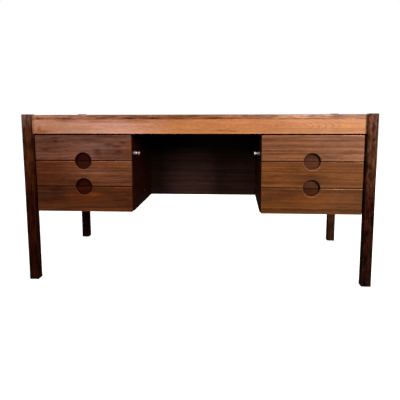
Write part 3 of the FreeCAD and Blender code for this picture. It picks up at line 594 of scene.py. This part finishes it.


# Boards of the drawer fronts, with tints of their marks and of the painted highlights along their upper edges

KNOT = (0.42, 0.34, 0.30)
GLOW = (1.55, 1.50, 1.25)
REDDISH = (0.72, 0.46, 0.26)
# tint of the painted highlights along the fronts' upper edges
EDGE_HIGHLIGHT_TINT = (2.4, 2.9, 3.6)
FRONT_BOARDS = {
    ("left", "top"): {
        "mean": (0.110, 0.0375, 0.0215), "heart": (-0.25, 0.44), "lean": (0.30, 0.0), "ring": 17, "waver": 15,
        "lines": 0.22, "contrast": 0.8,
        "marks": [
            at_front(-0.420, 0.573, 0.024, 0.024, (0.66, 0.46, 0.28)),
            at_front(-0.606, 0.634, 0.040, 0.006, KNOT, 0.9),
            at_front(-0.611, 0.622, 0.014, 0.008, KNOT),
            at_front(-0.465, 0.626, 0.070, 0.004, KNOT, 0.7),
            at_front(-0.365, 0.640, 0.090, 0.005, KNOT, 0.7),
            at_front(-0.375, 0.608, 0.028, 0.009, REDDISH),
            at_front(-0.340, 0.599, 0.030, 0.010, REDDISH),
            at_front(-0.313, 0.614, 0.024, 0.009, KNOT, 0.8),
            at_front(-0.326, 0.576, 0.024, 0.013, REDDISH),
            at_front(-0.655, 0.586, 0.022, 0.010, REDDISH),
            at_front(-0.286, 0.585, 0.016, 0.050, (1.15, 0.85, 0.45)),
            at_front(-0.600, 0.552, 0.090, 0.012, (1.20, 0.95, 0.60)),
            at_front(-0.640, 0.605, 0.080, 0.035, (0.86, 0.80, 0.74)),
            # the last two marks lighten and cool the front: painted sheen
            at_front(-0.400, 0.595, 0.120, 0.035, (1.02, 1.20, 1.50)),
            at_front(-0.490, 0.572, 0.120, 0.055, (1.42, 1.46, 1.52)),
        ],
    },
    ("left", "middle"): {
        "mean": (0.105, 0.0291, 0.0090), "heart": (-0.95, 0.46), "ring": 6, "waver": 5,
        "contrast": 1.15, "crisp": 0.11, "streaks": (1.3, 165.0), "flecks": 0.14,
        # the second fade lightens and cools the front toward its inner end: painted sheen
        "fades": [("X", -0.50, -0.66, (0.83, 0.67, 0.57)), ("X", -0.47, -0.35, (1.34, 1.51, 1.90))],
        "marks": [
            at_front(-0.375, 0.519, 0.090, 0.007, (1.15, 0.95, 0.50)),
            at_front(-0.640, 0.519, 0.060, 0.006, (0.75, 0.68, 0.60)),
            # the last two marks lighten and cool the front: painted sheen
            at_front(-0.405, 0.478, 0.120, 0.030, (1.22, 1.25, 1.45)),
            at_front(-0.490, 0.492, 0.120, 0.050, (1.41, 1.57, 2.10)),
        ],
        "edge_highlights": [(0.5325, -0.80, -0.44, EDGE_HIGHLIGHT_TINT)],
    },
    ("left", "bottom"): {
        "mean": (0.079, 0.0195, 0.0056), "heart": (-0.75, 0.40), "lean": (0.0, 0.03), "ring": 9, "waver": 14,
        "contrast": 1.2, "crisp": 0.11, "streaks": (1.4, 120.0), "flecks": 0.12,
        "fades": [("X", -0.52, -0.38, (1.20, 1.22, 1.30))],
        "marks": [
            at_front(-0.33, 0.406, 0.060, 0.008, (1.7, 1.5, 0.9)),
            at_front(-0.56, 0.385, 0.035, 0.010, GLOW),
            at_front(-0.45, 0.386, 0.060, 0.010, GLOW),
            at_front(-0.62, 0.403, 0.060, 0.006, (0.50, 0.45, 0.50)),
            at_front(-0.33, 0.362, 0.060, 0.010, (0.60, 0.55, 0.60)),
            at_front(-0.60, 0.370, 0.050, 0.008, (0.65, 0.60, 0.60)),
            at_front(-0.49, 0.380, 0.100, 0.045, (1.18, 1.07, 0.80)),
        ],
        "edge_highlights": [(0.4200, -0.80, -0.42, EDGE_HIGHLIGHT_TINT)],
    },
    ("right", "top"): {
        "mean": (0.198, 0.0687, 0.027), "heart": (-0.90, 0.52), "lean": (0.0, -0.01), "ring": 6, "waver": 6,
        "contrast": 1.0, "streaks": (0.9, 190.0), "flecks": 0.12,
        "fades": [("X", 0.45, 0.58, (1.22, 1.36, 1.66))],
        "marks": [
            at_front(0.310, 0.628, 0.040, 0.012, (0.80, 0.72, 0.62)),
            at_front(0.360, 0.580, 0.130, 0.004, (0.62, 0.52, 0.44)),
            at_front(0.640, 0.575, 0.060, 0.014, (0.82, 0.74, 0.62)),
            at_front(0.500, 0.632, 0.030, 0.010, (1.15, 1.22, 1.40)),
        ],
        "edge_highlights": [(0.6450, 0.10, 0.60, EDGE_HIGHLIGHT_TINT)],
    },
    ("right", "middle"): {
        "mean": (0.140, 0.0426, 0.0098), "heart": (-1.00, 0.50), "ring": 6, "waver": 6,
        "contrast": 1.0, "streaks": (0.9, 190.0), "flecks": 0.12,
        "fades": [("X", 0.40, 0.58, (1.03, 1.09, 1.32))],
        "marks": [
            at_front(0.50, 0.475, 0.080, 0.014, (0.78, 0.70, 0.66)),
            at_front(0.33, 0.472, 0.060, 0.008, (0.75, 0.68, 0.62)),
            at_front(0.49, 0.455, 0.120, 0.045, (0.70, 0.69, 0.71)),
        ],
        "edge_highlights": [(0.5325, 0.30, 0.62, EDGE_HIGHLIGHT_TINT)],
    },
    ("right", "bottom"): {
        "mean": (0.109, 0.0332, 0.0076), "heart": (-0.85, 0.38), "lean": (0.0, 0.01), "ring": 6, "waver": 6,
        "contrast": 0.85, "streaks": (0.9, 190.0), "flecks": 0.12,
        "fades": [("X", 0.40, 0.58, (1.14, 1.26, 1.60))],
        "marks": [
            at_front(0.394, 0.3125, 0.014, 0.0035, (3.0, 3.6, 5.0)),
            at_front(0.49, 0.378, 0.120, 0.050, (1.34, 1.22, 1.05)),
        ],
        "edge_highlights": [(0.4200, 0.20, 0.54, (4.2, 5.6, 8.0))],
    },
}
# Tints of painted shade, partly darker wood, in the half pulls of each front, and the depth at which it
# starts
WELL_SHADE_TINTS = {
    ("left", "top", "upper"): (0.128, 0.017, 0.008),
    ("left", "middle", "lower"): (0.262, 0.095, 0.0195),
    ("left", "middle", "upper"): (0.244, 0.0556, 0.0188),
    ("left", "bottom", "lower"): (0.414, 0.1845, 0.041),
    ("right", "top", "upper"): (0.343, 0.289, 0.280),
    ("right", "middle", "lower"): (0.616, 0.564, 0.721),
    ("right", "middle", "upper"): (0.554, 0.551, 0.902),
    ("right", "bottom", "lower"): (0.357, 0.269, 0.215),
}
WELL_SHADE_STARTS = {
    ("left", "upper"): 0.0, ("left", "lower"): 0.3 * MM,
    ("right", "upper"): 1.0 * MM, ("right", "lower"): 2.0 * MM,
}
# tints of the painted highlights on the pulls' lower rims
RIM_HIGHLIGHT_TINTS = {"left": (1.10, 1.30, 1.70), "right": (1.5, 2.0, 3.0)}
# painted shade along the lower edge of a front, where the seam below it lies in shadow
SEAM_SHADE_TINT = (0.09, 0.08, 0.08)


def pull_wells(side, row):
    """Middle, tint of painted shade and start of each half pull in a front; an upper half is cut in the
    drawer above.
    """
    number = ROWS.index(row)
    wells = []
    for half, above, below in (("upper", number, number + 1), ("lower", number - 1, number)):
        if above < 0 or below == len(ROWS):
            continue
        low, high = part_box(f"drawer_{side}_{ROWS[above]}_front")
        seam = (low[2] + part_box(f"drawer_{side}_{ROWS[below]}_front")[1][2]) / 2
        middle = ((low[0] + high[0]) / 2, seam)
        wells.append((middle, WELL_SHADE_TINTS[side, row, half], WELL_SHADE_STARTS[side, half]))
    return wells


def finish_fronts():
    for number, ((side, row), board) in enumerate(FRONT_BOARDS.items()):
        wells = pull_wells(side, row)
        seam_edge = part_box(f"drawer_{side}_{row}_front")[0][2]
        front = wood(
            f"rosewood_front_{side}_{row}",
            line=line_of(board["mean"]),
            shift=0.37 * number,
            # edges worn and with a painted glint, pulls with painted shade and painted highlights on their
            # rims, and painted shade along the lower edge
            edge_wear_and_glint=0.9,
            wells=wells,
            rim_highlights=[(middle, RIM_HIGHLIGHT_TINTS[side]) for middle, tint, start in wells],
            seam_shade=[] if row == "bottom" else [(seam_edge, SEAM_SHADE_TINT)],
            **board,
        )
        paint([f"drawer_{side}_{row}_front"], front)


# the inner sides and bottoms are far darker than the outer sides, the left ones most: painted shade of the
# knee space on the same rosewood
SHADED_INNER_SIDES = {
    "right": {"mean": (0.030, 0.0085, 0.0036), "shine": 0.08},
    "left": {"mean": (0.016, 0.0026, 0.0007), "shine": 0.04},
}
INNER_LINE_SHADE = 0.3
# painted shade on the front edge of each outer side, in the gap between the drawer fronts and the leg
OUTER_FRONT_EDGE = (-0.3335, -0.3385)
OUTER_EDGE_SHADE_TINT = (0.12, 0.10, 0.08)


def finish_pedestals():
    for side, board in SHADED_INNER_SIDES.items():
        line = line_of(board["mean"], INNER_LINE_SHADE)
        inner = wood(f"rosewood_shaded_inner_side_{side}", line=line, grain="Y", heart=(-0.6, 0.5), ring=7, **board)
        paint([f"pedestal_{side}_inner_side", f"pedestal_{side}_bottom"], inner)
    middling = {"mean": (0.105, 0.036, 0.0155), "line": (0.025, 0.008, 0.004), "ring": 8, "waver": 12}
    outer = wood(
        "rosewood_outer_side", **middling, grain="Y", heart=(-0.6, 0.5), lean=(0.03, 0.0),
        fades=[("Y", *OUTER_FRONT_EDGE, OUTER_EDGE_SHADE_TINT)],
    )
    paint([f"pedestal_{side}_outer_side" for side in SIDES], outer)
    back = wood("rosewood_back", **middling, heart=(0.30, 0.52), lean=(0.04, 0.0))
    paint(["pedestal_right_back", "pedestal_left_back", "modesty_cleats"], back)
    modesty = wood(
        "rosewood_modesty", (0.053, 0.0222, 0.0165), (0.02, 0.007, 0.004), heart=(0.4, 0.5), ring=8,
        contrast=0.75, streaks=(1.2, 115.0), veins=0.4, shine=0.10,
        # the fades darken both ends and lighten the middle: painted shade of the pedestals and painted light
        # between them
        fades=[
            ("X", -0.10, -0.22, (0.30, 0.28, 0.25)),
            ("X", -0.10, 0.06, (1.85, 1.85, 1.85)),
            ("X", 0.19, 0.27, (0.72, 0.68, 0.66)),
        ],
    )
    paint(["modesty_panel"], modesty)


def finish_hidden_wood():
    drawer_wood = wood(
        "drawer_wood", (0.40, 0.22, 0.105), (0.22, 0.10, 0.045), grain="Y", contrast=0.4,
        heart=(-0.3, 0.2), ring=6, waver=6, lines=0.3, veins=0.15, gloss=(0.55, 0.7), edge_wear_and_glint=0.2,
    )
    for side in SIDES:
        for row in ROWS:
            paint([f"drawer_{side}_{row}_walls", f"drawer_{side}_{row}_bottom_board"], drawer_wood)
    frame_wood = wood(
        "frame_wood", (0.46, 0.29, 0.155), (0.28, 0.15, 0.07), grain="Y", contrast=0.35,
        heart=(-0.3, 0.9), ring=5, waver=5, lines=0.3, veins=0.1, gloss=(0.6, 0.75), edge_wear_and_glint=0.2,
    )
    for side in SIDES:
        paint([f"pedestal_{side}_drawer_runners", f"pedestal_{side}_hanging_cleats"], frame_wood)
    paint(["top_glue_blocks"], frame_wood)


def finish_locks():
    nickel = metal("lock_nickel", (0.96, 0.90, 0.78), (0.72, 0.66, 0.54), 0.40, (30.0, 900.0, 900.0))
    steel = metal("lock_steel", (0.62, 0.60, 0.57), (0.38, 0.36, 0.33), 0.38, (900.0, 900.0, 40.0))
    for side in SIDES:
        paint([f"lock_{side}_sleeve", f"lock_{side}_plunger"], nickel)
        paint([f"lock_{side}_bar", f"lock_{side}_guides"], steel)
        paint([f"drawer_{side}_{row}_catch" for row in ROWS], steel)
    return nickel, steel


# Small fittings, each modelled once facing up at the origin and then set in its places

DISC_SIDES = 32
FACES_UP = 0.9
SMOOTH_ANGLE = math.radians(40)
FACING = {
    "+X": (0.0, math.pi / 2, 0.0),
    "-X": (0.0, -math.pi / 2, 0.0),
    "+Y": (-math.pi / 2, 0.0, 0.0),
}
KEY_CYLINDER = {
    "radius": 5.6 * MM, "proud": 0.7 * MM, "depth": 3.7 * MM, "rim": 0.9 * MM,
    "slot": (2.6 * MM, 0.65 * MM), "slot_depth": 2.4 * MM, "taper": 1.0,
}
WOOD_SCREW = {
    "radius": 3.4 * MM, "proud": 0.35 * MM, "depth": 1.4 * MM, "rim": 0.5 * MM,
    "slot": (2.7 * MM, 0.45 * MM), "slot_depth": 0.7 * MM, "taper": 0.6,
}
GUIDE_SCREW = {
    "radius": 2.3 * MM, "proud": 0.25 * MM, "depth": 1.1 * MM, "rim": 0.35 * MM,
    "slot": (1.8 * MM, 0.3 * MM), "slot_depth": 0.5 * MM, "taper": 0.7,
}
# Facing, place along Y and Z, and turn in degrees of the screw on each knee side
KNEE_SCREWS = {"left": ("+X", -0.108, 0.367, 35), "right": ("-X", -0.032, 0.418, -20)}
CLEAT_SCREW_INSET = 0.010
# Share of the cleat's height, and turn in degrees
CLEAT_SCREWS = ((0.12, 25), (0.5, 75), (0.88, 125))
GUIDE_SCREW_HEIGHT = 0.009
GUIDE_SCREW_INSET = 0.0045
GUIDE_SCREW_TURN = 15


def make_active(piece):
    bpy.ops.object.select_all(action="DESELECT")
    piece.select_set(True)
    bpy.context.view_layer.objects.active = piece


def apply_placing():
    bpy.ops.object.transform_apply(location=True, rotation=True, scale=True)


def choose(piece, wanted):
    """Selects the faces of the piece in edit mode that the test picks."""
    shape = bmesh.from_edit_mesh(piece.data)
    bpy.ops.mesh.select_all(action="DESELECT")
    for face in shape.faces:
        if wanted(face.calc_center_median(), face.normal):
            face.select_set(True)
    bmesh.update_edit_mesh(piece.data)


def slice_across(axis, place):
    """Cuts the whole piece in edit mode by a plane across one axis."""
    normal = [0.0, 0.0, 0.0]
    normal[axis] = 1.0
    bpy.ops.mesh.select_all(action="SELECT")
    bpy.ops.mesh.bisect(plane_co=[place * n for n in normal], plane_no=normal)


def model_slotted_disc(name, radius, proud, depth, rim, slot, slot_depth, taper):
    """A round fitting with a rim and a slot sunk in its face; its face is proud of the origin."""
    middle_height = proud - depth / 2
    bpy.ops.object.select_all(action="DESELECT")
    bpy.ops.mesh.primitive_cylinder_add(
        vertices=DISC_SIDES, radius=radius, depth=depth, location=(0, 0, middle_height)
    )
    piece = bpy.context.object
    piece.name = name
    apply_placing()
    make_active(piece)
    bpy.ops.object.mode_set(mode="EDIT")
    choose(piece, lambda middle, normal: normal.z < -FACES_UP)
    bpy.ops.transform.resize(value=(taper, taper, 1.0))
    choose(piece, lambda middle, normal: normal.z > FACES_UP)
    bpy.ops.mesh.bevel(offset=0.5 * proud, segments=2, affect="EDGES")
    choose(piece, lambda middle, normal: normal.z > FACES_UP)
    bpy.ops.mesh.inset(thickness=rim)
    for axis, half in enumerate(slot):
        slice_across(axis, half)
        slice_across(axis, -half)
    choose(
        piece,
        lambda middle, normal: normal.z > FACES_UP and abs(middle.x) < slot[0] and abs(middle.y) < slot[1],
    )
    bpy.ops.mesh.extrude_region_move(TRANSFORM_OT_translate={"value": (0.0, 0.0, -slot_depth)})
    bpy.ops.mesh.select_all(action="SELECT")
    bpy.ops.mesh.normals_make_consistent(inside=False)
    bpy.ops.object.mode_set(mode="OBJECT")
    bpy.ops.object.shade_smooth_by_angle(angle=SMOOTH_ANGLE)
    return piece


def set_fitting(pattern, name, place, facing, turn, body, finish):
    """A copy of a fitting in its place, turned about its own axis and riding on a body."""
    piece = pattern.copy()
    piece.data = pattern.data.copy()
    piece.name = name
    bpy.context.scene.collection.objects.link(piece)
    make_active(piece)
    piece.rotation_euler = (0.0, 0.0, math.radians(turn))
    apply_placing()
    piece.rotation_euler = FACING[facing]
    piece.location = place
    apply_placing()
    piece.data.materials.clear()
    piece.data.materials.append(finish)
    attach(piece, body)


def drop_pattern(pattern):
    mesh = pattern.data
    bpy.data.objects.remove(pattern)
    bpy.data.meshes.remove(mesh)


def fit_key_cylinders(nickel):
    """The key cylinder in the end of each lock plunger, with its keyway upright."""
    pattern = model_slotted_disc("key_cylinder", **KEY_CYLINDER)
    for side, facing in (("right", "-X"), ("left", "+X")):
        low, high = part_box(f"lock_{side}_plunger")
        end = low[0] if side == "right" else high[0]
        place = (end, (low[1] + high[1]) / 2, (low[2] + high[2]) / 2)
        body = f"lock_{side}_plunger"
        set_fitting(pattern, f"key_cylinder_{side}", place, facing, 0, body, nickel)
    drop_pattern(pattern)


def fit_wood_screws(nickel, steel):
    """One nickel screw showing on each knee side and three steel ones in each modesty cleat."""
    pattern = model_slotted_disc("slotted_screw", **WOOD_SCREW)
    for side, (facing, y, z, turn) in KNEE_SCREWS.items():
        low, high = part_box(f"pedestal_{side}_inner_side")
        place = (high[0] if side == "left" else low[0], y, z)
        set_fitting(pattern, f"knee_side_screw_{side}", place, facing, turn, "desk", nickel)
    low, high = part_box("modesty_cleats")
    for side, x in (("right", high[0] - CLEAT_SCREW_INSET), ("left", low[0] + CLEAT_SCREW_INSET)):
        for number, (share, turn) in enumerate(CLEAT_SCREWS):
            place = (x, high[1], low[2] + share * (high[2] - low[2]))
            name = f"cleat_screw_{side}_{number}"
            set_fitting(pattern, name, place, "+Y", turn, "desk", steel)
    drop_pattern(pattern)


def fit_guide_screws(steel):
    """Two steel screws in each guide of the lock bars."""
    pattern = model_slotted_disc("guide_screw", **GUIDE_SCREW)
    for side, facing in (("right", "+X"), ("left", "-X")):
        low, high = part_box(f"lock_{side}_guides")
        face = high[0] if side == "right" else low[0]
        levels = (("lower", low[2] + GUIDE_SCREW_HEIGHT), ("upper", high[2] - GUIDE_SCREW_HEIGHT))
        ends = (("front", low[1] + GUIDE_SCREW_INSET), ("rear", high[1] - GUIDE_SCREW_INSET))
        for level, z in levels:
            for end, y in ends:
                name = f"guide_screw_{side}_{level}_{end}"
                set_fitting(
                    pattern, name, (face, y, z), facing, GUIDE_SCREW_TURN, "desk", steel
                )
    drop_pattern(pattern)


# Studio

FLOOR_SIZE = 30.0
FLOOR_HEIGHT = -0.0005
FLOOR_CLOUD = ((1.5, 1.5, 1.5), 2.0)
FLOOR_SHADES = [(0.3, (0.915, 0.915, 0.91)), (0.7, (0.93, 0.93, 0.925))]
FLOOR_ROUGHNESS = 0.9
GLOW_REACH = (0.9, 3.0)
GLOW_STRENGTH = (0.70, 1.05)
SOFT_LIGHT = 0.03
BACKDROP_LIGHT = 1.0
LAMPS = {
    "studio_left": {
        "place": (-2.3, -2.9, 2.2), "target": (-0.4, -0.3, 0.45), "size": (1.6, 2.1), "power": 67.5,
    },
    "studio_right": {
        "place": (2.1, -3.1, 2.2), "target": (0.2, -0.3, 0.45), "size": (1.2, 2.1), "power": 209.5,
    },
    "studio_rear": {
        "place": (0.6, 3.2, 2.6), "target": (0.0, 0.3, 0.4), "size": (2.4, 1.4), "power": 110,
    },
}
SENSOR_WIDTH = 36.0
FOCAL_LENGTH = 40.35
LENS_SHIFT = (-0.00554, -0.06451)
CAMERA_PLACE = (0.16194, -2.25387, 0.73308)
CAMERA_TURN = (82.38877, 0.15158, 4.02523)


def floor_finish():
    """A pale floor that grows as white as the backdrop away from the desk."""
    finish, tree, shader = new_finish("studio_floor")
    here = add_node(tree, "ShaderNodeTexCoord").outputs["Object"]
    cloud = stretched_noise(tree, here, *FLOOR_CLOUD).outputs["Fac"]
    tree.links.new(colour_stops(tree, cloud, FLOOR_SHADES), shader.inputs["Base Color"])
    shader.inputs["Emission Color"].default_value = WHITE
    away = vector_node(tree, "LENGTH", here)
    glow = spread(tree, away, *GLOW_REACH, *GLOW_STRENGTH)
    tree.links.new(glow, shader.inputs["Emission Strength"])
    shader.inputs["Roughness"].default_value = FLOOR_ROUGHNESS
    return finish


def set_floor():
    bpy.ops.object.select_all(action="DESELECT")
    bpy.ops.mesh.primitive_plane_add(size=FLOOR_SIZE, location=(0.0, 0.0, FLOOR_HEIGHT))
    floor = bpy.context.object
    floor.name = "studio_floor"
    apply_placing()
    floor.data.materials.append(floor_finish())
    floor.visible_diffuse = False
    floor.visible_glossy = False


def set_backdrop():
    """White behind the desk, and only a dim light from all round."""
    world = bpy.data.worlds.new("studio")
    bpy.context.scene.world = world
    world.use_nodes = True
    tree = world.node_tree
    tree.nodes.clear()
    output = tree.nodes.new("ShaderNodeOutputWorld")
    soft = add_node(tree, "ShaderNodeBackground", Color=WHITE, Strength=SOFT_LIGHT)
    white = add_node(tree, "ShaderNodeBackground", Color=WHITE, Strength=BACKDROP_LIGHT)
    path = tree.nodes.new("ShaderNodeLightPath")
    mix = tree.nodes.new("ShaderNodeMixShader")
    tree.links.new(path.outputs["Is Camera Ray"], mix.inputs[0])
    tree.links.new(soft.outputs[0], mix.inputs[1])
    tree.links.new(white.outputs[0], mix.inputs[2])
    tree.links.new(mix.outputs[0], output.inputs["Surface"])


def set_lamp(name, place, target, size, power):
    """A soft rectangular lamp that faces its target."""
    light = bpy.data.lights.new(name, "AREA")
    light.shape = "RECTANGLE"
    light.size, light.size_y = size
    light.energy = power
    stand = bpy.data.objects.new(name, light)
    bpy.context.scene.collection.objects.link(stand)
    stand.location = place
    aim = [t - p for t, p in zip(target, place)]
    flat = math.hypot(aim[0], aim[1])
    stand.rotation_euler = (math.atan2(flat, -aim[2]), 0.0, math.atan2(aim[1], aim[0]) - math.pi / 2)


def set_lamps():
    for name, setting in LAMPS.items():
        set_lamp(name, **setting)


def set_camera():
    lens = bpy.data.cameras.new("studio_camera")
    lens.sensor_width = SENSOR_WIDTH
    lens.lens = FOCAL_LENGTH
    lens.shift_x, lens.shift_y = LENS_SHIFT
    camera = bpy.data.objects.new("studio_camera", lens)
    bpy.context.scene.collection.objects.link(camera)
    camera.location = CAMERA_PLACE
    camera.rotation_euler = [math.radians(angle) for angle in CAMERA_TURN]
    bpy.context.scene.camera = camera
    bpy.context.scene.view_settings.view_transform = "Standard"


finish_legs()
finish_rails()
finish_top()
finish_fronts()
finish_pedestals()
finish_hidden_wood()
nickel, steel = finish_locks()
fit_key_cylinders(nickel)
fit_wood_screws(nickel, steel)
fit_guide_screws(steel)
set_floor()
set_backdrop()
set_lamps()
set_camera()
